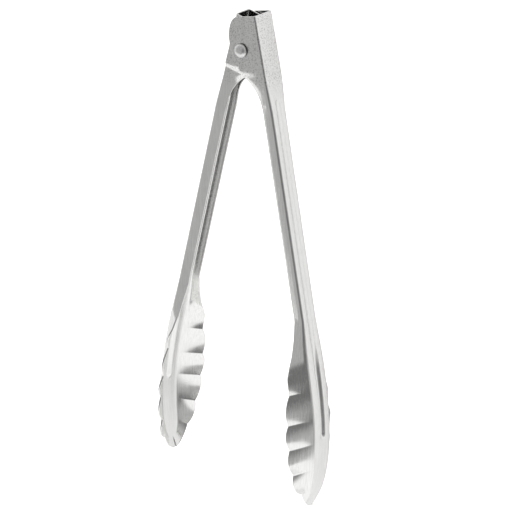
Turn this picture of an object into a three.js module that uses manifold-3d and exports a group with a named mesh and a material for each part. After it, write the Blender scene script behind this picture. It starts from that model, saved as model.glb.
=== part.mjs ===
// Spring loaded kitchen tongs: two pressed sheet-steel arms, one nested inside the other at a riveted
// hinge, pushed open by a coiled torsion spring round the rivet. Millimetres, +Z up. The tongs lie on their
// side: the hinge axis is along +Z, the hinge end points to +Y and the scalloped tips to -Y, and the arms
// spread along X.
//
// Each arm is described in its own coordinates, from the point beside the rivet where the base lines of the
// two arms cross: s runs along the base line towards the tip, h is the height of the outer surface of the
// spine above the base line, and y is the distance to the side of the arm's middle plane.
import * as THREE from "three";
import { mergeVertices } from "three/addons/utils/BufferGeometryUtils.js";
import Module from "manifold-3d";

const wasm = await Module();
wasm.setup();

// Overall
const SHEET = 1.0; // thickness of the pressed steel
const RUNNING_GAP = 0.3; // between pieces that touch or slide on the real tongs
const OPEN_HALF_ANGLE = THREE.MathUtils.degToRad(12.35); // of each arm from the middle, at rest
const CROSSING_FROM_MIDDLE = 132.115; // where the base lines cross, from the middle of the tongs' length
const LYING_HALF_HEIGHT = 22.74; // half the width of a paddle, which the tongs lie on

// Channel section of the handle
const SPINE_HEIGHT = 12.8;
const EAR_SPINE_HEIGHT = 11.6; // the spine is lower at the hinge end
const EAR_SPINE_END = 30.0;
const HALF_WIDTH = 8.1; // beside the spine
const EDGE_HEIGHT = 5.0; // of the wall's free edge
const EDGE_LEAN = 2.2; // how much further in the free edge is than the bend
const EAR_BEND = 2.0; // outside bend radius beside the hinge
const HANDLE_BEND = 3.6;
const PADDLE_BEND = 5.0;
const LIP_WIDTH = 1.9; // of the wall's curled edge
const LIP_CURL = 0.8;

// Ears of the hinge
const RIGHT_TOP_END = -18.5;
const LEFT_TOP_END = -16.8;
const EAR_EDGE = -9.5; // the ear's free edge, on the far side of the rivet
const EAR_CORNER_LENGTH = 14.5; // the ear's top corner is a quarter of an ellipse
const EAR_CORNER_HEIGHT = 8.4;
const EAR_TAPER_START = -2.0;
const CROTCH_START = 17.5; // where the ear's edge turns in to the handle's edge
const CROTCH_HEIGHT = -3.2;
const CROTCH_END = 37.0;
const SHOULDER_START = 12.5; // where the ear's flat ends in a pressed shoulder, on the ear's free edge...
const SHOULDER_END = 17.5;
const SHOULDER_TOP_START = 19.0; // ...and beside the spine's bend
const SHOULDER_TOP_END = 31.0;
const SHOULDER_CURL = 0.3; // how far the shoulder's edge turns in, short of the ear nested behind it
const OUTSIDE_EAR_STEP = 0.3; // how far the flat of the right arm's ear stands out of its handle
const INSIDE_EAR_STEP = 0.8; // the same for the left arm's ear
const NESTED_HALF_WIDTH = 5.7; // of the left arm beside the right arm's shoulder
const NEST_START = 20.0; // the left arm widens to its handle's width between here...
const NEST_END = 44.0; // ...and here

// Groove along the spine
const RIGHT_GROOVE_START = 30.0;
const LEFT_GROOVE_START = 182.0; // the left arm is grooved in its paddle only
const GROOVE_END = 244.5;
const GROOVE_DEPTH = 1.1;
const GROOVE_PADDLE_DEPTH = 1.9;
const GROOVE_HALF_WIDTH = 3.8;
const GROOVE_TIP_HALF_WIDTH = 3.1;

// Paddle
const PADDLE_START = 165.0;
const CURVE_START = 180.0; // the spine runs straight up to here, then curves in to the tip
const TIP_END = 290.0;
const TIP_DROP = 19.15; // how far the spine has curved in at the tip
const LOBE_BULGE = 2.6; // how far a scallop stands out of the line through the notches
const NECK_LOBE_BULGE = 1.4; // the same for the first one, which runs out of the neck
const LOBE_CREST = 1.3; // how far a scallop's crest stands above the creases beside it
const TIP_FAN = 10.0; // the last stations fan out round the end of the spine

// Hinge hardware
const RIVET_X = -1.1; // the rivet's axis from the crossing of the base lines
const RIVET_Y = -1.0;
const RIVET_RADIUS = 2.35;
const RIVET_HEAD_RADIUS = 4.0;
const RIVET_COLLAR_HEIGHT = 1.0; // the head's straight side, below its dome
const RIVET_DOME_HEIGHT = 2.5;
const RIVET_TAIL_RADIUS = 3.4;
const RIVET_TAIL_HEIGHT = 1.6;
const WIRE_RADIUS = 0.7;
const COIL_RADIUS = 3.7; // to the middle of the wire
const COIL_PITCH = 1.45;
const COIL_TURNS = 4;
const LEG_REACH = 25.0; // where a leg's end rests on the spine

const STEEL = { color: 0xc9cac7, metalness: 1.0, roughness: 0.28 };
const SPRING_STEEL = { color: 0x9b9c9a, metalness: 1.0, roughness: 0.35 };

const { clamp, lerp, smoothstep } = THREE.MathUtils;

// The line through the notches of a paddle's edge, as (s, y, h): the end of the handle's edge, a short
// flare, four notches, the arm's own last notch and the tip, and one mirrored point that makes the line cross
// the middle squarely.
const NOTCHES = [
  [PADDLE_START, HALF_WIDTH - EDGE_LEAN, EDGE_HEIGHT],
  [176.0, 8.4, 4.5],
  [185.5, 11.5, 3.8],
  [195.0, 16.0, 3.1],
  [208.7, 17.5, 2.5],
  [227.7, 19.9, 0.2],
  [243.7, 20.0, -1.5],
  [261.6, 17.0, -4.0],
];
const RIGHT_LAST_NOTCH = [278.0, 10.0, -6.2];
const LEFT_LAST_NOTCH = [278.0, 11.6, -5.4];
const TIP_POINT = [TIP_END - LOBE_BULGE, 0.0, -6.2];
const NOTCH_LINE_SPANS = 10;
const FIRST_LOBE = 3; // spans 0 to 2 are the flare
const TIP_LOBE = 8; // half of the lobe that crosses the middle
const LAST_SPAN_END = 9;

function notchLine(lastNotch) {
  const [s, y, h] = lastNotch;
  const points = [...NOTCHES, lastNotch, TIP_POINT, [s, -y, h]];
  return new THREE.CatmullRomCurve3(points.map((point) => new THREE.Vector3(...point)));
}

const spineHeight = (s) =>
  lerp(EAR_SPINE_HEIGHT, SPINE_HEIGHT, clamp((s - RIGHT_TOP_END) / (EAR_SPINE_END - RIGHT_TOP_END), 0, 1))
  - TIP_DROP * Math.max(0, (s - CURVE_START) / (TIP_END - CURVE_START)) ** 3;

// Height of an ear's free edge, from the end with its round corner to the handle.
function earEdge(s, topEnd) {
  const cornerEnd = topEnd + EAR_CORNER_LENGTH;
  if (s < cornerEnd) {
    const turned = Math.min(1, (cornerEnd - s) / EAR_CORNER_LENGTH);
    return EAR_EDGE + EAR_CORNER_HEIGHT * (1 - Math.sqrt(1 - turned ** 2));
  }
  if (s < EAR_TAPER_START) return EAR_EDGE;
  if (s < CROTCH_START) {
    const along = (s - EAR_TAPER_START) / (CROTCH_START - EAR_TAPER_START);
    return lerp(EAR_EDGE, CROTCH_HEIGHT, along ** 1.3);
  }
  const left = Math.max(0, (CROTCH_END - s) / (CROTCH_END - CROTCH_START));
  return EDGE_HEIGHT - (EDGE_HEIGHT - CROTCH_HEIGHT) * left ** 2.5;
}

// The left arm's ears are cut back along the line where they meet the right arm's spine when the tongs are
// fully open, which is what stops them.
function insideEarEdge(s, topEnd) {
  const room = EAR_SPINE_HEIGHT - SHEET - RUNNING_GAP - 0.2;
  const opening = 2 * OPEN_HALF_ANGLE;
  const stop = -(room + s * Math.sin(opening)) / Math.cos(opening);
  return Math.max(earEdge(s, topEnd), stop);
}

// The right arm's ears are outside and the left arm's inside. An ear's flat stands out of the handle and
// ends in a shoulder that runs slantwise, further along beside the spine than at the free edge.
const RIGHT = {
  topEnd: RIGHT_TOP_END,
  grooveStart: RIGHT_GROOVE_START,
  lastNotch: RIGHT_LAST_NOTCH,
  edgeAt: earEdge,
  wallAt: () => HALF_WIDTH,
  earStep: OUTSIDE_EAR_STEP,
  shoulderCurl: SHOULDER_CURL,
};
const LEFT = {
  topEnd: LEFT_TOP_END,
  grooveStart: LEFT_GROOVE_START,
  lastNotch: LEFT_LAST_NOTCH,
  edgeAt: insideEarEdge,
  wallAt: (s) => lerp(NESTED_HALF_WIDTH, HALF_WIDTH, smoothstep(s, NEST_START, NEST_END)),
  earStep: INSIDE_EAR_STEP,
  shoulderCurl: LIP_CURL,
};

const bendRadius = (s) =>
  EAR_BEND + (HANDLE_BEND - EAR_BEND) * smoothstep(s, 15, 50)
  + (PADDLE_BEND - HANDLE_BEND) * smoothstep(s, PADDLE_START, 200);

const grooveHalfWidth = (s) =>
  lerp(GROOVE_HALF_WIDTH, GROOVE_TIP_HALF_WIDTH, smoothstep(s, PADDLE_START, 230));

// Depth at a share of the groove's half width: a rounded valley.
function grooveDepth(s, share, grooveStart) {
  const begun = smoothstep(s, grooveStart, grooveStart + 3);
  const along = begun * (1 - smoothstep(s, GROOVE_END - 5, GROOVE_END));
  const deepest = lerp(GROOVE_DEPTH, GROOVE_PADDLE_DEPTH, smoothstep(s, CURVE_START, 200));
  return deepest * along * 0.5 * (1 + Math.cos(Math.PI * share));
}

// Width of the curled edge: a crescent at the shoulder of the ear, then a narrow lip along the handle.
function lipWidth(s) {
  if (s < SHOULDER_START) return 0.6;
  const crescent = 5.2 * Math.sin(Math.PI * clamp((s - SHOULDER_START + 1) / 22, 0, 1)) ** 0.8;
  return Math.max(LIP_WIDTH * smoothstep(s, SHOULDER_START, 20), crescent, 0.6);
}
const lipCurl = (s, shoulderCurl) =>
  lerp(shoulderCurl, LIP_CURL, smoothstep(s, 24, 34)) * smoothstep(s, SHOULDER_START, 19)
  * (1 - smoothstep(s, PADDLE_START - 5, 182));

// One half of a station: a run of points from the middle of the spine to the free edge, each on the outer
// surface and on the inner one.
function halfSection({ middle, edge, edgeHeight, topHalfWidth, shoulderCurl, grooveStart }) {
  const reach = Math.hypot(edge.x - middle, edge.y);
  const forward = (edge.x - middle) / reach;
  const sideways = edge.y / reach;
  const bend = Math.min(bendRadius(middle), 0.45 * reach);
  const flat = Math.min(topHalfWidth - bendRadius(middle), reach - 0.5 * bend);
  const drop = spineHeight(edge.x) - edgeHeight;
  // A line from the edge point touches the bend's circle; the tangent gives the wall's length and slope.
  const fromCentre = Math.hypot(reach - flat, drop - bend);
  const wall = Math.sqrt(Math.max(fromCentre ** 2 - bend ** 2, 0.01));
  const slope = Math.atan2(drop - bend, reach - flat) + Math.atan2(bend, wall);
  const points = [];
  const put = (across, depth, turn) => {
    const s = middle + forward * across;
    const surface = (inset) => {
      const a = across - inset * Math.sin(turn);
      const d = depth + inset * Math.cos(turn);
      return new THREE.Vector3(spineHeight(s) - d, -(middle + forward * a), sideways * a);
    };
    points.push({ outer: surface(0), inner: surface(SHEET) });
  };
  for (const share of [0, 0.5, 1]) {
    const offMiddle = share * Math.min(grooveHalfWidth(middle), 0.95 * flat);
    put(offMiddle, grooveDepth(middle, share, grooveStart), 0);
  }
  for (const share of [0, 0.5, 1]) {
    const turn = slope * share;
    put(flat + bend * Math.sin(turn), bend * (1 - Math.cos(turn)), turn);
  }
  const lip = Math.min(lipWidth(middle), 0.85 * wall);
  const curl = lipCurl(middle, shoulderCurl);
  for (const [along, curled] of [[wall - lip, 0], [wall - 0.4 * lip, 0.4], [wall, 1]]) {
    const across = flat + bend * Math.sin(slope) + along * Math.cos(slope) - curl * curled * Math.sin(slope);
    const depth = bend * (1 - Math.cos(slope)) + along * Math.sin(slope);
    put(across, depth, slope);
  }
  return points;
}

// How far in the free edge leans: a little from the shoulder on, and fully along the handle.
const edgeLean = (s) =>
  EDGE_LEAN * (0.3 * smoothstep(s, SHOULDER_START, SHOULDER_END) + 0.7 * smoothstep(s, SHOULDER_END, 40));

// Stations of the ear and the handle, square to the spine.
function handleStations(shape) {
  const { topEnd, edgeAt, wallAt, earStep, shoulderCurl, grooveStart } = shape;
  const cornerSteps = 6;
  const corner = Array.from({ length: cornerSteps + 1 }, (_, i) =>
    topEnd + EAR_CORNER_LENGTH * (1 - Math.cos((Math.PI / 2) * (i / cornerSteps))));
  const places = [...corner, 1, 5, 9, SHOULDER_START, 15, CROTCH_START];
  for (let s = 19.5; s < CROTCH_END; s += 3) places.push(s);
  for (let s = 40; s < PADDLE_START - 8; s += 24) places.push(s);
  return places.map((s) => {
    const edgeStep = earStep * (1 - smoothstep(s, SHOULDER_START, SHOULDER_END));
    return {
      middle: s,
      edge: new THREE.Vector2(s, wallAt(s) + edgeStep - edgeLean(s)),
      edgeHeight: edgeAt(s, topEnd),
      topHalfWidth: wallAt(s) + earStep * (1 - smoothstep(s, SHOULDER_TOP_START, SHOULDER_TOP_END)),
      shoulderCurl,
      grooveStart,
    };
  });
}

// Stations of the paddle along its notch line. Each scallop is a lobe between two notches: its edge bulges
// out of the notch line, and its crest stands above the creases that run in from the notches.
function paddleStations({ lastNotch, grooveStart }) {
  const line = notchLine(lastNotch);
  const stepsPerSpan = 5;
  const stations = [];
  for (let step = 0; step <= LAST_SPAN_END * stepsPerSpan; step++) {
    const span = step / stepsPerSpan;
    if (span < FIRST_LOBE && step % 2) continue;
    const point = line.getPoint(span / NOTCH_LINE_SPANS);
    const tangent = line.getTangent(span / NOTCH_LINE_SPANS);
    const outward = new THREE.Vector2(-tangent.y, tangent.x).normalize();
    const along = span < TIP_LOBE ? span - Math.floor(span) : (span - TIP_LOBE) / 2;
    const lobe = span < FIRST_LOBE ? 0 : 1 - Math.abs(2 * along - 1) ** 1.9;
    const bulge = lobe * (span < FIRST_LOBE + 1 ? NECK_LOBE_BULGE : LOBE_BULGE);
    const fan = TIP_FAN * Math.max(0, (span - 5) / (LAST_SPAN_END - 5)) ** 2;
    const fade = 1 - smoothstep(span, TIP_LOBE - 0.5, LAST_SPAN_END);
    const edge = new THREE.Vector2(point.x, point.y).addScaledVector(outward, bulge);
    const drop = spineHeight(point.x) - point.z + fade * (0.5 * bulge - LOBE_CREST * lobe);
    const edgeHeight = spineHeight(edge.x) - drop;
    const middle = point.x - fan;
    const topHalfWidth = lerp(HALF_WIDTH, 5.2 + PADDLE_BEND, smoothstep(middle, PADDLE_START, 200));
    stations.push({ middle, edge, edgeHeight, topHalfWidth, shoulderCurl: LIP_CURL, grooveStart });
  }
  const last = stations[stations.length - 1];
  last.edge.y = 0;
  last.edgeHeight = spineHeight(last.edge.x) - 0.05;
  return stations;
}

// A closed solid from the stations and their mirror images: both faces of the sheet and the cut edge all
// round. The last station lies in the middle plane, where the two sides meet.
function sheetGeometry(stations) {
  const half = stations.map(halfSection);
  const rows = half.length;
  const side = half[0].length - 1;
  const columns = 2 * side + 1;
  const positions = [];
  for (const face of ["outer", "inner"]) {
    for (let row = 0; row < rows; row++) {
      for (let c = -side; c <= side; c++) {
        const p = half[row][Math.abs(c)][face];
        positions.push(p.x, p.y, p.z * Math.sign(c));
      }
    }
  }
  const at = (face, row, column) => (face * rows + row) * columns + column;
  const index = [];
  const quad = (a, b, c, d) => index.push(a, b, c, a, c, d);
  for (let row = 0; row + 1 < rows; row++) {
    for (let column = 0; column + 1 < columns; column++) {
      quad(at(0, row, column), at(0, row, column + 1), at(0, row + 1, column + 1), at(0, row + 1, column));
      quad(at(1, row, column), at(1, row + 1, column), at(1, row + 1, column + 1), at(1, row, column + 1));
    }
    const far = columns - 1;
    quad(at(0, row, 0), at(0, row + 1, 0), at(1, row + 1, 0), at(1, row, 0));
    quad(at(0, row, far), at(1, row, far), at(1, row + 1, far), at(0, row + 1, far));
  }
  for (let column = 0; column + 1 < columns; column++) {
    quad(at(0, 0, column), at(1, 0, column), at(1, 0, column + 1), at(0, 0, column + 1));
  }
  return new THREE.BufferGeometry()
    .setAttribute("position", new THREE.BufferAttribute(new Float32Array(positions), 3))
    .setIndex(index);
}

// three.js geometry to a manifold-3d solid and back.
function toSolid(geometry) {
  const bare = geometry.index ? geometry.toNonIndexed() : geometry.clone();
  for (const name of Object.keys(bare.attributes)) if (name !== "position") bare.deleteAttribute(name);
  const merged = mergeVertices(bare, 1e-4);
  return new wasm.Manifold(new wasm.Mesh({
    numProp: 3,
    vertProperties: merged.attributes.position.array,
    triVerts: new Uint32Array(merged.index.array),
  }));
}

function toGeometry(solid) {
  const { vertProperties, triVerts } = solid.getMesh();
  const geometry = new THREE.BufferGeometry()
    .setAttribute("position", new THREE.BufferAttribute(new Float32Array(vertProperties), 3))
    .setIndex(new THREE.BufferAttribute(new Uint32Array(triVerts), 1));
  geometry.computeVertexNormals();
  return geometry;
}

function named(name, geometry, finish) {
  const mesh = new THREE.Mesh(geometry, new THREE.MeshStandardMaterial(finish));
  mesh.name = name;
  return mesh;
}

// The arm is made along -Y with its spine facing +X, then turned about the base lines' crossing; the rivet's
// hole is drilled through both ears.
function arm(name, shape, turn) {
  const stations = [...handleStations(shape), ...paddleStations(shape)];
  const sheet = sheetGeometry(stations).applyMatrix4(turn);
  const drill = new THREE.CylinderGeometry(RIVET_RADIUS + RUNNING_GAP, RIVET_RADIUS + RUNNING_GAP, 40, 24);
  drill.rotateX(Math.PI / 2).translate(RIVET_X, RIVET_Y, 0);
  return named(name, toGeometry(toSolid(sheet).subtract(toSolid(drill))), STEEL);
}

// The rivet: a domed head on a short straight collar, a plain shank and a flat formed tail.
function hingeRivet() {
  const seat = HALF_WIDTH + OUTSIDE_EAR_STEP + RUNNING_GAP;
  const profile = [new THREE.Vector2(0, -seat - RIVET_TAIL_HEIGHT)];
  profile.push(new THREE.Vector2(RIVET_TAIL_RADIUS - 0.4, -seat - RIVET_TAIL_HEIGHT));
  profile.push(new THREE.Vector2(RIVET_TAIL_RADIUS, -seat - RIVET_TAIL_HEIGHT + 0.4));
  profile.push(new THREE.Vector2(RIVET_TAIL_RADIUS, -seat), new THREE.Vector2(RIVET_RADIUS, -seat));
  profile.push(new THREE.Vector2(RIVET_RADIUS, seat), new THREE.Vector2(RIVET_HEAD_RADIUS, seat));
  const domeSteps = 6;
  for (let i = 0; i <= domeSteps; i++) {
    const turn = (i / domeSteps) * (Math.PI / 2);
    const radius = i === domeSteps ? 0 : RIVET_HEAD_RADIUS * Math.cos(turn);
    profile.push(new THREE.Vector2(radius, seat + RIVET_COLLAR_HEIGHT + RIVET_DOME_HEIGHT * Math.sin(turn)));
  }
  const geometry = new THREE.LatheGeometry(profile, 24).rotateX(Math.PI / 2).translate(RIVET_X, RIVET_Y, 0);
  return named("hinge_rivet", toGeometry(toSolid(geometry)), STEEL);
}

// Where a spring leg ends, on the inside of the right arm's spine (side 1) or the left arm's (side -1),
// from the rivet's axis.
function legEnd(side) {
  const height = spineHeight(LEG_REACH) - SHEET - RUNNING_GAP - WIRE_RADIUS - 0.1;
  const x = LEG_REACH * Math.sin(OPEN_HALF_ANGLE) + height * Math.cos(OPEN_HALF_ANGLE);
  const y = -LEG_REACH * Math.cos(OPEN_HALF_ANGLE) + height * Math.sin(OPEN_HALF_ANGLE);
  return new THREE.Vector2(side * x - RIVET_X, y - RIVET_Y);
}

// The wire runs up the right arm's leg, round the coil anticlockwise and down the left arm's leg, so
// squeezing the tongs winds the coil up. Each leg leaves the coil along a tangent.
class SpringWire extends THREE.Curve {
  constructor() {
    super();
    const right = legEnd(1);
    const left = legEnd(-1);
    this.rightLeg = Math.sqrt(right.lengthSq() - COIL_RADIUS ** 2);
    this.leftLeg = Math.sqrt(left.lengthSq() - COIL_RADIUS ** 2);
    this.startTurn = Math.atan2(right.y, right.x) + Math.atan2(this.rightLeg, COIL_RADIUS);
    const endTurn = Math.atan2(left.y, left.x) - Math.atan2(this.leftLeg, COIL_RADIUS);
    this.turned = (COIL_TURNS + 1) * 2 * Math.PI + endTurn - this.startTurn;
    this.coilLength = this.turned * COIL_RADIUS;
    this.total = this.rightLeg + this.coilLength + this.leftLeg;
    this.halfCoil = (COIL_PITCH * this.turned) / (4 * Math.PI);
  }

  getPoint(t, target = new THREE.Vector3()) {
    const along = t * this.total - this.rightLeg;
    const wound = clamp(along / this.coilLength, 0, 1);
    const turn = this.startTurn + wound * this.turned;
    const past = along - wound * this.coilLength;
    const z = this.halfCoil * (1 - 2 * wound);
    const x = RIVET_X + COIL_RADIUS * Math.cos(turn) - past * Math.sin(turn);
    const y = RIVET_Y + COIL_RADIUS * Math.sin(turn) + past * Math.cos(turn);
    return target.set(x, y, z);
  }
}

function torsionSpring() {
  const sides = 8;
  const section = new THREE.Shape(
    Array.from({ length: sides }, (_, i) => {
      const turn = (2 * Math.PI * i) / sides;
      return new THREE.Vector2(WIRE_RADIUS * Math.cos(turn), WIRE_RADIUS * Math.sin(turn));
    }),
  );
  const wire = new THREE.ExtrudeGeometry(section, {
    steps: 100,
    bevelEnabled: false,
    extrudePath: new SpringWire(),
  });
  return named("torsion_spring", toGeometry(toSolid(wire)), SPRING_STEEL);
}

const rightTurn = new THREE.Matrix4().makeRotationZ(OPEN_HALF_ANGLE);
const leftTurn = new THREE.Matrix4().makeRotationY(Math.PI).multiply(rightTurn);

const tongs = new THREE.Group();
tongs.position.set(0, CROSSING_FROM_MIDDLE, LYING_HALF_HEIGHT);
tongs.add(arm("right_arm", RIGHT, rightTurn), arm("left_arm", LEFT, leftTurn));
tongs.add(hingeRivet(), torsionSpring());

export default tongs;
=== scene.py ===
"""Spring loaded kitchen tongs, lying on their side on a pale floor: two pressed steel arms, the hinge
rivet and the torsion spring, each with its own steel finish. Blender units are metres; the arms are worked
out in millimetres, as on the drawing, and scaled at the end."""

import math

import bmesh
import bpy
import numpy as np
from mathutils import Matrix, Vector


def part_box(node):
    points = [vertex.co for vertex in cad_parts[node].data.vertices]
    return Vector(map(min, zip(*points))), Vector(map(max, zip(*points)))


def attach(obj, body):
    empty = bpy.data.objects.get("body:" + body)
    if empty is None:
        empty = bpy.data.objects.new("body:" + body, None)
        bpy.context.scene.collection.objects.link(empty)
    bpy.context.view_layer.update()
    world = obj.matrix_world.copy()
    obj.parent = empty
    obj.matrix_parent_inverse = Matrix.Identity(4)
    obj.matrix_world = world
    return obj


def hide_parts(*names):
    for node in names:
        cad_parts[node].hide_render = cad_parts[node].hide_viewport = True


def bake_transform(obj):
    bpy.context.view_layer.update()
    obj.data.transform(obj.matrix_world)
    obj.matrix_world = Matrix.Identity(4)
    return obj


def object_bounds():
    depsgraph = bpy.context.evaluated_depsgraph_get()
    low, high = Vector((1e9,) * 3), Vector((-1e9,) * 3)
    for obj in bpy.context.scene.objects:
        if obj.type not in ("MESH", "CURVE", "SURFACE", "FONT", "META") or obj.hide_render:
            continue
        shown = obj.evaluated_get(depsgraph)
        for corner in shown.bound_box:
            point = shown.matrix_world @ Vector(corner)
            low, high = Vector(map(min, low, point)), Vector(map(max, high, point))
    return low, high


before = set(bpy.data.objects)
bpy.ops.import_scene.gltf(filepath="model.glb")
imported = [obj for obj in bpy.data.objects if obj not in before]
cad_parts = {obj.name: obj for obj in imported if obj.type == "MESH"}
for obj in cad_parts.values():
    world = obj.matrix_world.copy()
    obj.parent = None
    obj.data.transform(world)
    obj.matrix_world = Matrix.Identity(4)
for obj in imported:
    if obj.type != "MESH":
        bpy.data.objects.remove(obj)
CAD_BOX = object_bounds()

MM = 0.001

# Overall, as in the part
SHEET = 1.0
RUNNING_GAP = 0.3
OPEN_HALF_ANGLE = math.radians(12.35)
CROSSING_FROM_MIDDLE = 132.115
LYING_HALF_HEIGHT = 22.74

# Channel section
SPINE_HEIGHT = 12.8
EAR_SPINE_HEIGHT = 11.6
EAR_SPINE_END = 30.0
HALF_WIDTH = 8.1
EDGE_HEIGHT = 5.0
EDGE_LEAN = 2.2
EAR_BEND = 2.0
HANDLE_BEND = 3.6
PADDLE_BEND = 5.0
LIP_WIDTH = 2.2
LIP_CURL = 0.4

# Ears
RIGHT_TOP_END = -18.5
LEFT_TOP_END = -16.8
EAR_EDGE = -9.5
EAR_CORNER_LENGTH = 14.5
EAR_CORNER_HEIGHT = 8.4
EAR_TAPER_START = -2.0
CROTCH_START = 17.5
CROTCH_HEIGHT = -3.2
CROTCH_END = 37.0
SHOULDER_START = 12.5
SHOULDER_END = 17.5
SHOULDER_TOP_START = 19.0
SHOULDER_TOP_END = 31.0
RIGHT_SHOULDER_CURL = 0.55
LEFT_SHOULDER_CURL = 1.1
RIGHT_SHOULDER_LEAN = 0.34
LEFT_SHOULDER_LEAN = 0.6
OUTSIDE_EAR_STEP = 0.3
INSIDE_EAR_STEP = 0.8
NESTED_HALF_WIDTH = 5.7
NEST_START = 20.0
NEST_END = 44.0

# Groove
RIGHT_GROOVE_START = 30.0
LEFT_GROOVE_START = 182.0
GROOVE_END = 244.5
GROOVE_DEPTH = 1.1
GROOVE_PADDLE_DEPTH = 1.9
GROOVE_HALF_WIDTH = 3.8
GROOVE_TIP_HALF_WIDTH = 3.1

# Paddle
PADDLE_START = 165.0
CURVE_START = 180.0
TIP_END = 290.0
TIP_DROP = 19.15
LOBE_BULGE = 2.6
NECK_LOBE_BULGE = 1.4
LOBE_CREST = 1.3
TIP_FAN = 10.0
NOTCHES = [
    (PADDLE_START, HALF_WIDTH - EDGE_LEAN, EDGE_HEIGHT),
    (176.0, 8.4, 4.5),
    (185.5, 11.5, 3.8),
    (195.0, 16.0, 3.1),
    (208.7, 17.5, 2.5),
    (227.7, 19.9, 0.2),
    (243.7, 20.0, -1.5),
    (261.6, 17.0, -4.0),
]
RIGHT_LAST_NOTCH = (278.0, 10.0, -6.2)
LEFT_LAST_NOTCH = (278.0, 11.6, -5.4)
TIP_POINT = (TIP_END - LOBE_BULGE, 0.0, -6.2)
NOTCH_LINE_SPANS = 10
FIRST_LOBE = 3
TIP_LOBE = 8
LAST_SPAN_END = 9

# Hinge hardware
RIVET_X = -1.1
RIVET_Y = -1.0
RIVET_RADIUS = 2.35
RIVET_HEAD_RADIUS = 4.0
RIVET_COLLAR_HEIGHT = 1.0
RIVET_DOME_HEIGHT = 2.5
RIVET_TAIL_RADIUS = 3.4
RIVET_TAIL_HEIGHT = 1.6
WIRE_RADIUS = 0.7
COIL_RADIUS = 3.7
COIL_PITCH = 1.45
COIL_TURNS = 4
LEG_REACH = 25.0


def smoothstep(x, low, high):
    t = min(1.0, max(0.0, (x - low) / (high - low)))
    return t * t * (3 - 2 * t)


def lerp(a, b, t):
    return a + (b - a) * t


# ---------------------------------------------------------------- the pressed arms


def spine_height(s):
    rise = min(1.0, max(0.0, (s - RIGHT_TOP_END) / (EAR_SPINE_END - RIGHT_TOP_END)))
    drop = TIP_DROP * max(0.0, (s - CURVE_START) / (TIP_END - CURVE_START)) ** 3
    return lerp(EAR_SPINE_HEIGHT, SPINE_HEIGHT, rise) - drop


def ear_edge(s, top_end):
    """Height of an ear's free edge, from the end with its round corner to the handle."""
    corner_end = top_end + EAR_CORNER_LENGTH
    if s < corner_end:
        turned = min(1.0, (corner_end - s) / EAR_CORNER_LENGTH)
        return EAR_EDGE + EAR_CORNER_HEIGHT * (1 - math.sqrt(1 - turned**2))
    if s < EAR_TAPER_START:
        return EAR_EDGE
    if s < CROTCH_START:
        along = (s - EAR_TAPER_START) / (CROTCH_START - EAR_TAPER_START)
        return lerp(EAR_EDGE, CROTCH_HEIGHT, along**1.3)
    left = max(0.0, (CROTCH_END - s) / (CROTCH_END - CROTCH_START))
    return EDGE_HEIGHT - (EDGE_HEIGHT - CROTCH_HEIGHT) * left**2.5


def inside_ear_edge(s, top_end):
    """The left arm's ears are cut back where they meet the right arm's spine with the tongs fully open."""
    room = EAR_SPINE_HEIGHT - SHEET - RUNNING_GAP - 0.2
    opening = 2 * OPEN_HALF_ANGLE
    stop = -(room + s * math.sin(opening)) / math.cos(opening)
    return max(ear_edge(s, top_end), stop)


def bend_radius(s):
    return (
        EAR_BEND
        + (HANDLE_BEND - EAR_BEND) * smoothstep(s, 15, 50)
        + (PADDLE_BEND - HANDLE_BEND) * smoothstep(s, PADDLE_START, 200)
    )


def groove_depth(s, share, start):
    """A rounded valley."""
    along = smoothstep(s, start, start + 3) * (1 - smoothstep(s, GROOVE_END - 5, GROOVE_END))
    deepest = lerp(GROOVE_DEPTH, GROOVE_PADDLE_DEPTH, smoothstep(s, CURVE_START, 200))
    return deepest * along * 0.5 * (1 + math.cos(math.pi * min(1.0, share)))


def edge_lean(s, at_shoulder):
    """How far in the free edge leans: its share at the shoulder, and fully along the handle."""
    begun = at_shoulder * smoothstep(s, SHOULDER_START, SHOULDER_END)
    return EDGE_LEAN * (begun + (1 - at_shoulder) * smoothstep(s, SHOULDER_END, 40))


def groove_half_width(s):
    """The groove narrows slowly along the paddle and ends in a round."""
    past = max(0.0, (s - (GROOVE_END - 4)) / 4.2)
    round_end = math.sqrt(max(0.0, 1 - past**2)) if s < GROOVE_END else 0.3
    width = lerp(GROOVE_HALF_WIDTH, GROOVE_TIP_HALF_WIDTH, smoothstep(s, PADDLE_START, 230))
    return max(0.3, round_end) * width


def lip_width(s):
    if s < SHOULDER_START:
        return 0.6
    turn = min(1.0, max(0.0, (s - SHOULDER_START + 1) / 22))
    crescent = 4.6 * math.sin(math.pi * turn) ** 0.8
    return max(LIP_WIDTH * smoothstep(s, SHOULDER_START, 20), crescent, 0.6)


def lip_curl(s, shoulder_curl):
    whole = lerp(shoulder_curl, LIP_CURL, smoothstep(s, 24, 34)) * smoothstep(s, SHOULDER_START, 19)
    return whole * (1 - smoothstep(s, PADDLE_START - 5, 182))


RIGHT = {
    "top_end": RIGHT_TOP_END,
    "groove_start": RIGHT_GROOVE_START,
    "last_notch": RIGHT_LAST_NOTCH,
    "edge_at": ear_edge,
    "wall_at": lambda s: HALF_WIDTH,
    "ear_step": OUTSIDE_EAR_STEP,
    "shoulder_lean": RIGHT_SHOULDER_LEAN,
    "shoulder_curl": RIGHT_SHOULDER_CURL,
}
LEFT = {
    "top_end": LEFT_TOP_END,
    "groove_start": LEFT_GROOVE_START,
    "last_notch": LEFT_LAST_NOTCH,
    "edge_at": inside_ear_edge,
    "wall_at": lambda s: lerp(NESTED_HALF_WIDTH, HALF_WIDTH, smoothstep(s, NEST_START, NEST_END)),
    "ear_step": INSIDE_EAR_STEP,
    "shoulder_lean": LEFT_SHOULDER_LEAN,
    "shoulder_curl": LEFT_SHOULDER_CURL,
}

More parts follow.
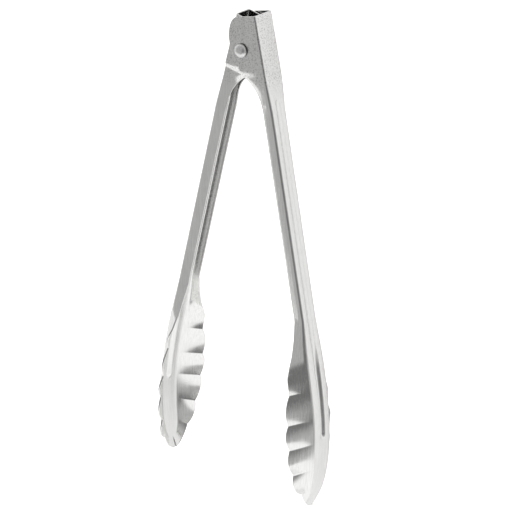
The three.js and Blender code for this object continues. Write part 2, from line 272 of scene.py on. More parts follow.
FLAT_STEPS = [0, 0.1, 0.2, 0.3, 0.4, 0.5, 0.6, 0.7, 0.8, 0.9, 1.0]
BEND_STEPS = 9
WALL_STEPS = 14
LIP_STEPS = 5


def half_section(station):
    """From the middle of the spine to the free edge: points of the outer surface and of the inner one."""
    middle = station["middle"]
    edge_s, edge_y = station["edge"]
    reach = math.hypot(edge_s - middle, edge_y)
    forward, sideways = (edge_s - middle) / reach, edge_y / reach
    bend = min(bend_radius(middle), 0.45 * reach)
    flat = min(station["top_half_width"] - bend_radius(middle), reach - 0.5 * bend)
    drop = spine_height(edge_s) - station["edge_height"]
    from_centre = math.hypot(reach - flat, drop - bend)
    wall = math.sqrt(max(from_centre**2 - bend**2, 0.01))
    slope = math.atan2(drop - bend, reach - flat) + math.atan2(bend, wall)
    outer, inner = [], []

    def put(across, depth, turn):
        s = middle + forward * across
        for points, inset in ((outer, 0.0), (inner, SHEET)):
            a = across - inset * math.sin(turn)
            d = depth + inset * math.cos(turn)
            points.append((spine_height(s) - d, -(middle + forward * a), sideways * a))

    groove = min(groove_half_width(middle), 0.95 * flat)
    for share in FLAT_STEPS:
        put(share * groove, groove_depth(middle, share, station["groove_start"]), 0.0)
    for step in range(1, 4):
        put(lerp(groove, flat, step / 4), 0.0, 0.0)
    for step in range(BEND_STEPS + 1):
        turn = slope * step / BEND_STEPS
        put(flat + bend * math.sin(turn), bend * (1 - math.cos(turn)), turn)
    lip = min(max(lip_width(middle), LIP_WIDTH), 0.85 * wall)
    curl = lip_curl(middle, station["shoulder_curl"])
    start = (flat + bend * math.sin(slope), bend * (1 - math.cos(slope)))
    alongs = [(wall - lip) * step / WALL_STEPS for step in range(1, WALL_STEPS + 1)]
    alongs += [wall - lip + lip * step / LIP_STEPS for step in range(1, LIP_STEPS + 1)]
    for along in alongs:
        curled = smoothstep(along, wall - lip, wall + 0.4 * lip) / 0.802
        across = start[0] + along * math.cos(slope) - curl * curled * math.sin(slope)
        depth = start[1] + along * math.sin(slope) - station["lobe"] * (along / wall) ** 1.2
        put(across, depth, slope)
    return outer, inner


def notch_line(last_notch):
    """Gives a function of the span number: the point and the direction on the line through the notches."""
    s, y, h = last_notch
    points = np.array([*NOTCHES, last_notch, TIP_POINT, (s, -y, h)], float)
    padded = np.vstack([2 * points[0] - points[1], points, 2 * points[-1] - points[-2]])

    def at(span):
        i = min(int(span), NOTCH_LINE_SPANS - 1)
        p0, p1, p2, p3 = padded[i : i + 4]
        # Centripetal spacing, as the part's curve has.
        steps = [max(1e-4, np.sum((b - a) ** 2) ** 0.25) for a, b in ((p0, p1), (p1, p2), (p2, p3))]
        m1 = ((p1 - p0) / steps[0] - (p2 - p0) / (steps[0] + steps[1]) + (p2 - p1) / steps[1]) * steps[1]
        m2 = ((p2 - p1) / steps[1] - (p3 - p1) / (steps[1] + steps[2]) + (p3 - p2) / steps[2]) * steps[1]
        t = span - i
        c2 = -3 * p1 + 3 * p2 - 2 * m1 - m2
        c3 = 2 * p1 - 2 * p2 + m1 + m2
        return p1 + m1 * t + c2 * t**2 + c3 * t**3, m1 + 2 * c2 * t + 3 * c3 * t**2

    return at


CORNER_ROWS = (0, 0.35, 0.75, 1.2, 1.8, 2.5, 3.3, 4.2, 5.2, 6.3, 7.5, 8.8, 10.2, 11.6, 13, 14.5)


def handle_stations(shape):
    """Rows square to the spine: close together round the ear's corner and the shoulder, wider further on."""
    top = shape["top_end"]
    places = [top + past_end for past_end in CORNER_ROWS]
    while places[-1] < 50:
        places.append(places[-1] + 0.75)
    while places[-1] < PADDLE_START - 4:
        places.append(places[-1] + 2.5)
    return [
        {
            "middle": s,
            "edge": (s, shape["wall_at"](s) - edge_lean(s, shape["shoulder_lean"])
                     + shape["ear_step"] * (1 - smoothstep(s, SHOULDER_START, SHOULDER_END))),
            "groove_start": shape["groove_start"],
            "edge_height": shape["edge_at"](s, top),
            "top_half_width": shape["wall_at"](s)
            + shape["ear_step"] * (1 - smoothstep(s, SHOULDER_TOP_START, SHOULDER_TOP_END)),
            "shoulder_curl": shape["shoulder_curl"],
            "lobe": 0.0,
        }
        for s in places
    ]


def paddle_stations(shape):
    """Rows along the notch line: each scallop's edge bulges out and its crest stands above the creases."""
    line = notch_line(shape["last_notch"])
    steps_per_span = 26
    stations = []
    for step in range(LAST_SPAN_END * steps_per_span + 1):
        span = step / steps_per_span
        point, tangent = line(min(span, NOTCH_LINE_SPANS - 1e-6))
        outward = np.array([-tangent[1], tangent[0]])
        outward /= np.linalg.norm(outward)
        along = span - math.floor(span) if span < TIP_LOBE else (span - TIP_LOBE) / 2
        lobe = 0.0 if span < FIRST_LOBE else 1 - abs(2 * along - 1) ** 1.9
        crest = 0.0 if span < FIRST_LOBE else 1 - abs(2 * along ** 1.15 - 1) ** 1.6
        bulge = lobe * (NECK_LOBE_BULGE if span < FIRST_LOBE + 1 else LOBE_BULGE)
        fan = TIP_FAN * max(0.0, (span - 5) / (LAST_SPAN_END - 5)) ** 2
        fade = 1 - smoothstep(span, TIP_LOBE - 0.5, LAST_SPAN_END)
        edge = point[:2] + outward * bulge
        drop = spine_height(point[0]) - point[2] + fade * 0.5 * bulge
        middle = point[0] - fan
        stations.append(
            {
                "middle": middle,
                "groove_start": shape["groove_start"],
                "edge": (edge[0], max(edge[1], 0.02)),
                "edge_height": spine_height(edge[0]) - drop,
                "top_half_width": lerp(HALF_WIDTH, 5.2 + PADDLE_BEND, smoothstep(middle, PADDLE_START, 200)),
                "shoulder_curl": LIP_CURL,
                "lobe": fade * LOBE_CREST * crest,
            }
        )
    last = stations[-1]
    last["edge"] = (last["edge"][0], 0.0)
    last["edge_height"] = spine_height(last["edge"][0]) - 0.05
    return stations


def arm_grid(shape):
    """The outer and the inner surface as grids of points, from one free edge over the spine to the other."""
    surfaces = {"outer": [], "inner": []}
    for station in [*handle_stations(shape), *paddle_stations(shape)]:
        outer, inner = half_section(station)
        for face, half in (("outer", outer), ("inner", inner)):
            mirrored = [(x, y, -z) for x, y, z in reversed(half[1:])]
            surfaces[face].append(mirrored + half)
    return np.array(surfaces["outer"]), np.array(surfaces["inner"])


RIM_ROUNDING = 0.25
RIM_STEPS = 3


def rounded_rim(outer, inner, loop):
    """Pulls the free edge in and gives the rings of points that round the sheet's cut edge off."""
    out = np.array([outer[r, c] for r, c in loop])
    ins = np.array([inner[r, c] for r, c in loop])
    along = np.roll(out, -1, axis=0) - np.roll(out, 1, axis=0)
    thick = out - ins
    thick /= np.linalg.norm(thick, axis=1)[:, None]
    outwards = np.cross(thick, along)
    outwards /= np.linalg.norm(outwards, axis=1)[:, None]
    back = [outer[r, max(1, min(c, outer.shape[1] - 2))] if c in (0, outer.shape[1] - 1) else outer[r + 1, c]
            for r, c in loop]
    wrong = np.einsum("ij,ij->i", outwards, out - np.array(back)) < 0
    outwards[wrong] *= -1
    rings = []
    steps = range(1, RIM_STEPS + 1)
    for start, inwards, order in ((out, -thick, steps), (ins, thick, reversed(steps))):
        for k in order:
            a = math.pi / 2 * k / RIM_STEPS
            pulled_in = outwards * RIM_ROUNDING * (1 - math.sin(a))
            rings.append(start - pulled_in + inwards * RIM_ROUNDING * (1 - math.cos(a)))
    for i, (r, c) in enumerate(loop):
        outer[r, c] = out[i] - outwards[i] * RIM_ROUNDING
        inner[r, c] = ins[i] - outwards[i] * RIM_ROUNDING
    outer[-1, 0], inner[-1, 0] = outer[-1, -1], inner[-1, -1]
    return rings


def sheet_mesh(name, shape, turn, box):
    """The arm as one closed sheet with a rounded cut edge, inside the part's own box."""
    outer, inner = arm_grid(shape)
    rows, columns = outer.shape[:2]
    loop = [(r, columns - 1) for r in range(rows)] + [(r, 0) for r in reversed(range(rows - 1))]
    loop += [(0, c) for c in range(1, columns - 1)]
    rings = rounded_rim(outer, inner, loop)
    bm = bmesh.new()

    def vertex(point):
        p = turn @ Vector(point)
        p += Vector((0, CROSSING_FROM_MIDDLE, LYING_HALF_HEIGHT))
        return bm.verts.new([min(max(c * MM, low), high) for c, low, high in zip(p, *box)])

    out, ins = ([[vertex(p) for p in row] for row in grid] for grid in (outer, inner))
    for r in range(rows - 1):
        for c in range(columns - 1):
            bm.faces.new((out[r][c], out[r][c + 1], out[r + 1][c + 1], out[r + 1][c]))
            bm.faces.new((ins[r][c], ins[r + 1][c], ins[r + 1][c + 1], ins[r][c + 1]))
    bands = [[out[r][c] for r, c in loop]]
    bands += [[vertex(p) for p in ring] for ring in rings]
    bands.append([ins[r][c] for r, c in loop])
    for a, b in zip(bands, bands[1:]):
        for i in range(len(loop)):
            j = (i + 1) % len(loop)
            bm.faces.new((a[i], b[i], b[j], a[j]))
    bmesh.ops.remove_doubles(bm, verts=bm.verts, dist=1e-7)
    bmesh.ops.recalc_face_normals(bm, faces=bm.faces)
    mesh = bpy.data.meshes.new(name)
    bm.to_mesh(mesh)
    bm.free()
    piece = bpy.data.objects.new(name, mesh)
    bpy.context.scene.collection.objects.link(piece)
    return piece


def apply_modifiers(piece):
    bpy.context.view_layer.update()
    evaluated = piece.evaluated_get(bpy.context.evaluated_depsgraph_get())
    mesh = bpy.data.meshes.new_from_object(evaluated)
    piece.modifiers.clear()
    piece.data = mesh


def drill(piece):
    """Drills the rivet's hole through both ears."""
    bm = bmesh.new()
    bmesh.ops.create_cone(
        bm, cap_ends=True, segments=64, radius1=(RIVET_RADIUS + RUNNING_GAP) * MM,
        radius2=(RIVET_RADIUS + RUNNING_GAP) * MM, depth=40 * MM,
    )
    mesh = bpy.data.meshes.new("drill")
    bm.to_mesh(mesh)
    bm.free()
    tool = bpy.data.objects.new("drill", mesh)
    bpy.context.scene.collection.objects.link(tool)
    tool.location = Vector((RIVET_X, CROSSING_FROM_MIDDLE + RIVET_Y, LYING_HALF_HEIGHT)) * MM
    cut = piece.modifiers.new("rivet_hole", "BOOLEAN")
    cut.operation = "DIFFERENCE"
    cut.solver = "EXACT"
    cut.object = tool
    apply_modifiers(piece)
    bpy.data.objects.remove(tool)


def shade_smooth(piece, angle=40):
    piece.data.polygons.foreach_set("use_smooth", [True] * len(piece.data.polygons))
    bm = bmesh.new()
    bm.from_mesh(piece.data)
    for edge in bm.edges:
        edge.smooth = not (edge.is_manifold and edge.calc_face_angle(0.0) > math.radians(angle))
    bm.to_mesh(piece.data)
    bm.free()


RIGHT_TURN = Matrix.Rotation(OPEN_HALF_ANGLE, 3, "Z")
LEFT_TURN = Matrix.Rotation(math.pi, 3, "Y") @ RIGHT_TURN


def make_arm(name, node, body, shape, turn):
    piece = sheet_mesh(name, shape, turn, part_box(node))
    drill(piece)
    shade_smooth(piece)
    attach(piece, body)
    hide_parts(node)
    return piece


# ---------------------------------------------------------------- the hinge's rivet and spring


def turned_mesh(name, profile, segments, centre):
    """A turned piece: a profile of (radius, height) pairs round the hinge axis, closed on the axis."""
    bm = bmesh.new()
    rings = []
    for radius, height in profile:
        if radius < 1e-6:
            rings.append([bm.verts.new((centre.x, centre.y, centre.z + height * MM))])
            continue
        ring = []
        for i in range(segments):
            a = 2 * math.pi * i / segments
            spot = Vector((radius * math.cos(a), radius * math.sin(a), height)) * MM
            ring.append(bm.verts.new(centre + spot))
        rings.append(ring)
    for low, high in zip(rings, rings[1:]):
        for i in range(segments):
            j = (i + 1) % segments
            quad = [low[i % len(low)], low[j % len(low)], high[j % len(high)], high[i % len(high)]]
            bm.faces.new(list(dict.fromkeys(quad)))
    bmesh.ops.recalc_face_normals(bm, faces=bm.faces)
    mesh = bpy.data.meshes.new(name)
    bm.to_mesh(mesh)
    bm.free()
    piece = bpy.data.objects.new(name, mesh)
    bpy.context.scene.collection.objects.link(piece)
    return piece


def rivet_profile():
    seat = HALF_WIDTH + OUTSIDE_EAR_STEP + RUNNING_GAP
    tail = -seat - RIVET_TAIL_HEIGHT
    points = [(0.0, tail), (RIVET_TAIL_RADIUS - 0.9, tail)]
    for i in range(7):
        a = math.pi / 2 * i / 6
        points.append((RIVET_TAIL_RADIUS - 0.6 + 0.6 * math.sin(a), tail + 0.6 * (1 - math.cos(a))))
    points += [(RIVET_TAIL_RADIUS, -seat - 0.15), (RIVET_TAIL_RADIUS - 0.15, -seat)]
    points += [(RIVET_RADIUS + 0.15, -seat), (RIVET_RADIUS, -seat + 0.15)]
    points += [(RIVET_RADIUS, seat - 0.15), (RIVET_RADIUS + 0.15, seat)]
    points += [(RIVET_HEAD_RADIUS - 0.3, seat), (RIVET_HEAD_RADIUS - 0.08, seat + 0.1)]
    points.append((RIVET_HEAD_RADIUS, seat + 0.35))
    collar = seat + RIVET_COLLAR_HEIGHT
    points.append((RIVET_HEAD_RADIUS, collar - 0.3))
    ball = (RIVET_HEAD_RADIUS**2 + RIVET_DOME_HEIGHT**2) / (2 * RIVET_DOME_HEIGHT)
    steps = 18
    for i in range(1, steps + 1):
        a = math.asin(RIVET_HEAD_RADIUS / ball) * (1 - i / steps)
        points.append((ball * math.sin(a), collar + RIVET_DOME_HEIGHT - ball * (1 - math.cos(a))))
    return points


def leg_end(side):
    height = spine_height(LEG_REACH) - SHEET - RUNNING_GAP - WIRE_RADIUS - 0.1
    x = LEG_REACH * math.sin(OPEN_HALF_ANGLE) + height * math.cos(OPEN_HALF_ANGLE)
    y = -LEG_REACH * math.cos(OPEN_HALF_ANGLE) + height * math.sin(OPEN_HALF_ANGLE)
    return side * x - RIVET_X, y - RIVET_Y


def spring_line(count):
    """Points along the middle of the wire: the right arm's leg, the coil and the left arm's leg."""
    right, left = leg_end(1), leg_end(-1)
    right_leg = math.sqrt(math.hypot(*right) ** 2 - COIL_RADIUS**2)
    left_leg = math.sqrt(math.hypot(*left) ** 2 - COIL_RADIUS**2)
    start = math.atan2(right[1], right[0]) + math.atan2(right_leg, COIL_RADIUS)
    end = math.atan2(left[1], left[0]) - math.atan2(left_leg, COIL_RADIUS)
    turned = (COIL_TURNS + 1) * 2 * math.pi + end - start
    coil = turned * COIL_RADIUS
    half_coil = COIL_PITCH * turned / (4 * math.pi)
    points = []
    for i in range(count):
        along = (right_leg + coil + left_leg) * i / (count - 1) - right_leg
        wound = min(1.0, max(0.0, along / coil))
        turn = start + wound * turned
        past = along - wound * coil
        points.append(Vector((
            RIVET_X + COIL_RADIUS * math.cos(turn) - past * math.sin(turn),
            RIVET_Y + COIL_RADIUS * math.sin(turn) + past * math.cos(turn),
            half_coil * (1 - 2 * wound),
        )))
    return points


def wire_mesh(name, points, radius, sides, origin):
    """A round wire along the points, with rounded ends."""
    bm = bmesh.new()
    rings = []
    count = len(points)
    tangents = [(points[min(i + 1, count - 1)] - points[max(i - 1, 0)]).normalized() for i in range(count)]
    normal = Vector((0, 0, 1))
    stops = [(0, -radius * math.cos(a), radius * math.sin(a)) for a in (0.25, 0.6, 1.0)]
    stops += [(i, 0.0, radius) for i in range(count)]
    stops += [(count - 1, radius * math.cos(a), radius * math.sin(a)) for a in (1.0, 0.6, 0.25)]
    for i, past, r in stops:
        t = tangents[i]
        normal = (normal - t * normal.dot(t)).normalized()
        side = t.cross(normal)
        centre = points[i] + t * past
        rings.append([
            bm.verts.new((centre + normal * r * math.cos(a) + side * r * math.sin(a) + origin) * MM)
            for a in (2 * math.pi * k / sides for k in range(sides))
        ])
    for low, high in zip(rings, rings[1:]):
        for k in range(sides):
            m = (k + 1) % sides
            bm.faces.new((low[k], low[m], high[m], high[k]))
    bm.faces.new(list(reversed(rings[0])))
    bm.faces.new(rings[-1])
    bmesh.ops.recalc_face_normals(bm, faces=bm.faces)
    mesh = bpy.data.meshes.new(name)
    bm.to_mesh(mesh)
    bm.free()
    piece = bpy.data.objects.new(name, mesh)
    bpy.context.scene.collection.objects.link(piece)
    return piece


# ---------------------------------------------------------------- finishes


def node_group(name, inputs, outputs):
    group = bpy.data.node_groups.new(name, "ShaderNodeTree")
    for label, kind, value in inputs:
        socket = group.interface.new_socket(label, in_out="INPUT", socket_type=kind)
        if value is not None:
            socket.default_value = value
    for label, kind in outputs:
        group.interface.new_socket(label, in_out="OUTPUT", socket_type=kind)
    return group, group.nodes.new("NodeGroupInput"), group.nodes.new("NodeGroupOutput")


def add(tree, kind, inputs=None, **settings):
    node = tree.nodes.new(kind)
    for key, value in settings.items():
        setattr(node, key, value)
    for key, value in (inputs or {}).items():
        if isinstance(value, bpy.types.NodeSocket):
            tree.links.new(value, node.inputs[key])
        else:
            node.inputs[key].default_value = value
    return node


def maths(tree, operation, a, b=0.0, c=0.0, clamp=False):
    return add(tree, "ShaderNodeMath", {0: a, 1: b, 2: c}, operation=operation, use_clamp=clamp).outputs[0]


def spread(tree, value, low, high, to_low, to_high):
    keys = {"Value": value, "From Min": low, "From Max": high, "To Min": to_low, "To Max": to_high}
    return add(tree, "ShaderNodeMapRange", keys, interpolation_type="SMOOTHSTEP").outputs["Result"]


def colour_mix(tree, share, a, b, blend="MIX"):
    """Mixes two colours; each of the three is a socket or a value. The node's colour sockets are 6 and 7."""
    node = add(tree, "ShaderNodeMix", data_type="RGBA", blend_type=blend)
    for socket, value in ((0, share), (6, a), (7, b)):
        if isinstance(value, bpy.types.NodeSocket):
            tree.links.new(value, node.inputs[socket])
        else:
            node.inputs[socket].default_value = value
    return node.outputs[2]


def drawn_grain_group():
    """Fine lines left by rolling and polishing, stretched along the piece, with a slow change of strength."""
    group, given, result = node_group(
        "drawn_grain",
        [("Length Scale", "NodeSocketFloat", 60.0), ("Cross Scale", "NodeSocketFloat", 2600.0),
         ("Contrast", "NodeSocketFloat", 1.0)],
        [("Lines", "NodeSocketFloat"), ("Mottle", "NodeSocketFloat")],
    )
    place = add(group, "ShaderNodeTexCoord").outputs["Object"]
    across, length = given.outputs["Cross Scale"], given.outputs["Length Scale"]
    stretch = add(group, "ShaderNodeCombineXYZ", {"X": across, "Y": length, "Z": across}).outputs[0]
    scaled = add(group, "ShaderNodeVectorMath", {0: place, 1: stretch}, operation="MULTIPLY").outputs[0]
    fine = add(group, "ShaderNodeTexNoise", {"Vector": scaled, "Scale": 1.0, "Detail": 4.0, "Roughness": 0.6})
    patches = {"Vector": place, "Scale": 90.0, "Detail": 3.0, "Roughness": 0.55}
    broad = add(group, "ShaderNodeTexNoise", patches)
    lines = maths(group, "SUBTRACT", fine.outputs["Fac"], 0.5)
    lines = maths(group, "MULTIPLY", lines, given.outputs["Contrast"])
    group.links.new(maths(group, "ADD", lines, 0.5), result.inputs["Lines"])
    group.links.new(broad.outputs["Fac"], result.inputs["Mottle"])
    return group


def scratches_group():
    """Thin random scratches: narrow bands picked out of two stretched noises that run different ways."""
    group, given, result = node_group(
        "light_scratches",
        [("Scale", "NodeSocketFloat", 1.0), ("Amount", "NodeSocketFloat", 0.5)],
        [("Scratches", "NodeSocketFloat")],
    )
    place = add(group, "ShaderNodeTexCoord").outputs["Object"]
    kept = None
    two_ways = (((0.4, 0.2, 0.5), (30.0, 700.0, 30.0), 56.7), ((0.1, 0.9, -0.7), (700.0, 26.0, 60.0), 60.1))
    for turn, stretch, patch_scale in two_ways:
        laid = {"Vector": place, "Rotation": turn, "Scale": stretch}
        turned = add(group, "ShaderNodeMapping", laid).outputs[0]
        by = {0: turned, "Scale": given.outputs["Scale"]}
        sized = add(group, "ShaderNodeVectorMath", by, operation="SCALE").outputs[0]
        fine = {"Vector": sized, "Scale": 1.0, "Detail": 1.0}
        noise = add(group, "ShaderNodeTexNoise", fine).outputs["Fac"]
        line = maths(group, "ABSOLUTE", maths(group, "SUBTRACT", noise, 0.5))
        line = spread(group, line, 0.0, 0.012, 1.0, 0.0)
        patches = {"Vector": place, "Scale": patch_scale, "Detail": 1.0}
        where = add(group, "ShaderNodeTexNoise", patches).outputs["Fac"]
        line = maths(group, "MULTIPLY", line, spread(group, where, 0.5, 0.62, 0.0, 1.0))
        kept = line if kept is None else maths(group, "MAXIMUM", kept, line)
    group.links.new(maths(group, "MULTIPLY", kept, given.outputs["Amount"]), result.inputs["Scratches"])
    return group


def edge_wear_group():
    """A mask that is 1 on edges rubbed bright and 0 on flats, broken up a little."""
    group, given, result = node_group(
        "edge_wear",
        [("Radius", "NodeSocketFloat", 0.0006), ("Strength", "NodeSocketFloat", 1.0)],
        [("Worn", "NodeSocketFloat")],
    )
    flat = add(group, "ShaderNodeNewGeometry").outputs["Normal"]
    soft = add(group, "ShaderNodeBevel", {"Radius": given.outputs["Radius"]}, samples=6).outputs[0]
    facing = add(group, "ShaderNodeVectorMath", {0: flat, 1: soft}, operation="DOT_PRODUCT").outputs["Value"]
    edge = spread(group, facing, 0.995, 0.88, 0.0, 1.0)
    place = add(group, "ShaderNodeTexCoord").outputs["Object"]
    patchy = add(group, "ShaderNodeTexNoise", {"Vector": place, "Scale": 420.0, "Detail": 3.0}).outputs["Fac"]
    edge = maths(group, "MULTIPLY", edge, spread(group, patchy, 0.3, 0.6, 0.55, 1.0))
    edge = maths(group, "MULTIPLY", edge, given.outputs["Strength"], clamp=True)
    group.links.new(edge, result.inputs["Worn"])
    return group


def painted_recess_shade_group():
    """Painted shade: a mask that is 1 deep inside the channel and in narrow gaps, where little light reaches;
    the finish darkens the colour there.
    """
    group, given, result = node_group(
        "painted_recess_shade",
        [("Reach", "NodeSocketFloat", 0.012), ("Strength", "NodeSocketFloat", 1.0)],
        [("Painted Shade", "NodeSocketFloat")],
    )
    reach = {"Distance": given.outputs["Reach"]}
    open_sky = add(group, "ShaderNodeAmbientOcclusion", reach, samples=8).outputs["AO"]
    painted_shade = maths(group, "MULTIPLY", spread(group, open_sky, 0.22, 0.62, 1.0, 0.0), given.outputs["Strength"])
    group.links.new(painted_shade, result.inputs["Painted Shade"])
    return group


def matte_ear_group():
    """Fine matte pitting of the flats round the hinge, fading out where the handles begin."""
    group, given, result = node_group(
        "matte_ears",
        [("Size", "NodeSocketFloat", 1500.0), ("Start", "NodeSocketFloat", 0.104),
         ("End", "NodeSocketFloat", 0.116)],
        [("Pits", "NodeSocketFloat"), ("Area", "NodeSocketFloat")],
    )
    place = add(group, "ShaderNodeTexCoord").outputs["Object"]
    along = add(group, "ShaderNodeSeparateXYZ", {0: place}).outputs["Y"]
    area = add(group, "ShaderNodeMapRange", {
        "Value": along, "From Min": given.outputs["Start"], "From Max": given.outputs["End"],
    }).outputs["Result"]
    pits = add(group, "ShaderNodeTexNoise", {"Vector": place, "Scale": given.outputs["Size"], "Detail": 2.0})
    group.links.new(pits.outputs["Fac"], result.inputs["Pits"])
    group.links.new(area, result.inputs["Area"])
    return group


GRAIN = drawn_grain_group()
SCRATCHES = scratches_group()
WEAR = edge_wear_group()
PAINTED_RECESS_SHADE = painted_recess_shade_group()
MATTE = matte_ear_group()


def steel(name, colour, dark, worn, rough, rough_change, grain_size, bump, scratch, matte):
    """A steel finish: grain and mottling, then worn edges, painted shade in recesses, matte pitting and
    scratches.
    """
    material = bpy.data.materials.new(name)
    material.use_nodes = True
    tree = material.node_tree
    tree.nodes.clear()
    output = tree.nodes.new("ShaderNodeOutputMaterial")
    shader = add(tree, "ShaderNodeBsdfPrincipled", {"Metallic": 1.0})
    grain = add(tree, "ShaderNodeGroup", node_tree=GRAIN)
    for key, value in zip(("Length Scale", "Cross Scale", "Contrast"), grain_size):
        grain.inputs[key].default_value = value
    marks = add(tree, "ShaderNodeGroup", node_tree=SCRATCHES)
    marks.inputs["Amount"].default_value = scratch
    edges = add(tree, "ShaderNodeGroup", node_tree=WEAR)
    lines, mottle = grain.outputs["Lines"], grain.outputs["Mottle"]
    grained, mottled = maths(tree, "MULTIPLY", lines, 0.6), maths(tree, "MULTIPLY", mottle, 0.4)
    tone = maths(tree, "ADD", grained, mottled, clamp=True)
    base = colour_mix(tree, tone, dark, colour)
    # Painted shade: the colour is darkened to dark grey inside the channel and in narrow gaps, where ambient
    # occlusion finds little light.
    shade_in_recess = add(tree, "ShaderNodeGroup", node_tree=PAINTED_RECESS_SHADE)
    base = colour_mix(tree, shade_in_recess.outputs["Painted Shade"], base, (0.13, 0.13, 0.13, 1))
    ears = add(tree, "ShaderNodeGroup", node_tree=MATTE)
    ear_area = maths(tree, "MULTIPLY", ears.outputs["Area"], matte)
    pits = maths(tree, "MULTIPLY", maths(tree, "SUBTRACT", ears.outputs["Pits"], 0.5), ear_area)
    pitted = maths(tree, "MULTIPLY_ADD", pits, 1.6, 1.0, clamp=True)
    base = colour_mix(tree, 1.0, base, pitted, "MULTIPLY")
    tree.links.new(colour_mix(tree, edges.outputs["Worn"], base, worn), shader.inputs["Base Color"])
    roughness = maths(tree, "MULTIPLY_ADD", maths(tree, "SUBTRACT", mottle, 0.5), rough_change, rough)
    roughness = maths(tree, "MULTIPLY_ADD", maths(tree, "SUBTRACT", lines, 0.5), rough_change, roughness)
    roughness = maths(tree, "MULTIPLY_ADD", marks.outputs["Scratches"], 0.12, roughness)
    roughness = maths(tree, "MULTIPLY_ADD", edges.outputs["Worn"], -0.08, roughness, clamp=True)
    tree.links.new(roughness, shader.inputs["Roughness"])
    height = maths(tree, "MULTIPLY_ADD", marks.outputs["Scratches"], -0.8, lines)
    height = maths(tree, "MULTIPLY_ADD", pits, 5.0, height)
    relief = add(tree, "ShaderNodeBump", {"Strength": bump, "Distance": 0.00002, "Height": height})
    tree.links.new(relief.outputs[0], shader.inputs["Normal"])
    tree.links.new(shader.outputs[0], output.inputs[0])
    return material


SHEET_STEEL = steel(
    "polished_sheet_steel", (0.92, 0.92, 0.905, 1), (0.72, 0.72, 0.71, 1), (0.95, 0.95, 0.94, 1),
    0.17, 0.12, (14.0, 1300.0, 2.2), 0.5, 0.5, 1.4,
)
RIVET_STEEL = steel(
    "turned_rivet_steel", (0.93, 0.93, 0.92, 1), (0.66, 0.66, 0.66, 1), (0.95, 0.95, 0.94, 1),
    0.34, 0.12, (900.0, 900.0, 0.8), 0.3, 0.6, 0.8,
)
WIRE_STEEL = steel(
    "drawn_spring_wire", (0.62, 0.62, 0.61, 1), (0.42, 0.42, 0.42, 1), (0.75, 0.75, 0.74, 1),
    0.33, 0.12, (1200.0, 1200.0, 0.8), 0.3, 0.3, 0.0,
)

# ---------------------------------------------------------------- the pieces

right_arm = make_arm("right_arm_sheet", "right_arm", "right_side", RIGHT, RIGHT_TURN)
left_arm = make_arm("left_arm_sheet", "left_arm", "left_side", LEFT, LEFT_TURN)

hinge = Vector((RIVET_X, CROSSING_FROM_MIDDLE + RIVET_Y, LYING_HALF_HEIGHT)) * MM
rivet = turned_mesh("rivet_turned", rivet_profile(), 64, hinge)
shade_smooth(rivet, 50)
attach(rivet, "right_side")
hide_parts("hinge_rivet")

spring = wire_mesh(
    "spring_wire_coil", spring_line(520), WIRE_RADIUS, 14,
    Vector((0, CROSSING_FROM_MIDDLE, LYING_HALF_HEIGHT)),
)
shade_smooth(spring, 50)
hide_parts("torsion_spring")
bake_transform(spring)

for piece, finish in (
    (right_arm, SHEET_STEEL), (left_arm, SHEET_STEEL), (rivet, RIVET_STEEL), (spring, WIRE_STEEL),
    (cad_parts["right_arm"], SHEET_STEEL), (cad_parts["left_arm"], SHEET_STEEL),
    (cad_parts["hinge_rivet"], RIVET_STEEL), (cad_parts["torsion_spring"], WIRE_STEEL),
):
    piece.data.materials.clear()
    piece.data.materials.append(finish)

# ---------------------------------------------------------------- floor, light and camera


def pale_floor():
    bm = bmesh.new()
    bmesh.ops.create_grid(bm, x_segments=8, y_segments=8, size=6.0)
    mesh = bpy.data.meshes.new("studio_floor")
    bm.to_mesh(mesh)
    bm.free()
    floor = bpy.data.objects.new("studio_floor", mesh)
    bpy.context.scene.collection.objects.link(floor)
    floor.location.z = CAD_BOX[0].z - 0.0006
    material = bpy.data.materials.new("pale_floor")
    material.use_nodes = True
    tree = material.node_tree
    shader = tree.nodes["Principled BSDF"]
    place = add(tree, "ShaderNodeTexCoord").outputs["Object"]
    noise = add(tree, "ShaderNodeTexNoise", {"Vector": place, "Scale": 30.0, "Detail": 2.0}).outputs["Fac"]
    tone = colour_mix(tree, noise, (0.93, 0.93, 0.93, 1), (0.95, 0.95, 0.95, 1))
    tree.links.new(tone, shader.inputs["Base Color"])
    shader.inputs["Roughness"].default_value = 0.9
    shader.inputs["Specular IOR Level"].default_value = 0.1
    shader.inputs["Emission Color"].default_value = (1, 1, 1, 1)
    seen = add(tree, "ShaderNodeLightPath").outputs["Is Camera Ray"]
    tree.links.new(maths(tree, "MULTIPLY", seen, 0.8), shader.inputs["Emission Strength"])
    floor.data.materials.append(material)


def area_light(name, place, aim, size, power, glossy):
    data = bpy.data.lights.new(name, "AREA")
    data.shape = "RECTANGLE"
    data.size, data.size_y = size
    data.energy = power
    light = bpy.data.objects.new(name, data)
    bpy.context.scene.collection.objects.link(light)
    light.location = place
    light.rotation_mode = "QUATERNION"
    light.rotation_quaternion = (Vector(aim) - Vector(place)).to_track_quat("-Z", "Y")
    light.visible_glossy = glossy
    return light


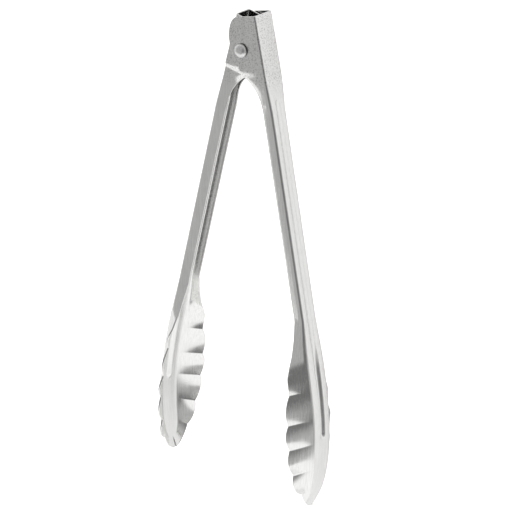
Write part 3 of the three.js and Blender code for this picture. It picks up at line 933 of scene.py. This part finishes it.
def studio_room():
    """A plain room: white low down and in front of the tips, grey overhead, dark high on the +X side."""
    world = bpy.data.worlds.new("studio_room")
    bpy.context.scene.world = world
    world.use_nodes = True
    tree = world.node_tree
    tree.nodes.clear()
    output = tree.nodes.new("ShaderNodeOutputWorld")
    background = tree.nodes.new("ShaderNodeBackground")
    way = add(tree, "ShaderNodeTexCoord").outputs["Generated"]
    axes = add(tree, "ShaderNodeSeparateXYZ", {0: way}).outputs
    low = spread(tree, axes["Z"], 0.10, 0.24, 1.0, 0.0)
    low = maths(tree, "MULTIPLY", low, spread(tree, axes["X"], 0.75, 0.95, 1.0, 0.55))
    front = maths(
        tree, "MULTIPLY",
        spread(tree, axes["Y"], -0.56, -0.44, 1.0, 0.0), spread(tree, axes["Z"], 0.58, 0.71, 1.0, 0.0),
    )
    right_high = maths(
        tree, "MULTIPLY",
        spread(tree, axes["X"], 0.35, 0.60, 0.0, 0.60), spread(tree, axes["Z"], 0.25, 0.45, 0.0, 1.0),
    )
    sky = maths(tree, "MULTIPLY", maths(tree, "SUBTRACT", 1.0, right_high), 0.42)
    shade = maths(tree, "MAXIMUM", maths(tree, "MAXIMUM", low, front), sky)
    tree.links.new(colour_mix(tree, shade, (0, 0, 0, 1), (1, 1, 1, 1)), background.inputs["Color"])
    background.inputs["Strength"].default_value = 1.1
    tree.links.new(background.outputs[0], output.inputs[0])


pale_floor()
studio_room()
area_light("overhead_softbox", (0.2, 0.1, 1.8), (0, 0, 0), (4.0, 4.0), 44.0, False)

CAMERA_PLACE = Vector((0.5973, 0.4646, 0.8143))
CAMERA_BACK = Vector((0.54163, 0.42395, 0.72588))
CAMERA_UP = Vector((-0.27518, 0.90535, -0.32343))
camera_data = bpy.data.cameras.new("camera")
camera_data.sensor_width = 36.0
camera_data.lens = 128.86
camera = bpy.data.objects.new("camera", camera_data)
bpy.context.scene.collection.objects.link(camera)
camera.location = CAMERA_PLACE
back = CAMERA_BACK.normalized()
right = CAMERA_UP.cross(back).normalized()
up = back.cross(right)
camera.rotation_mode = "QUATERNION"
camera.rotation_quaternion = Matrix((right, up, back)).transposed().to_quaternion()
bpy.context.scene.camera = camera
bpy.context.scene.view_settings.view_transform = "Standard"
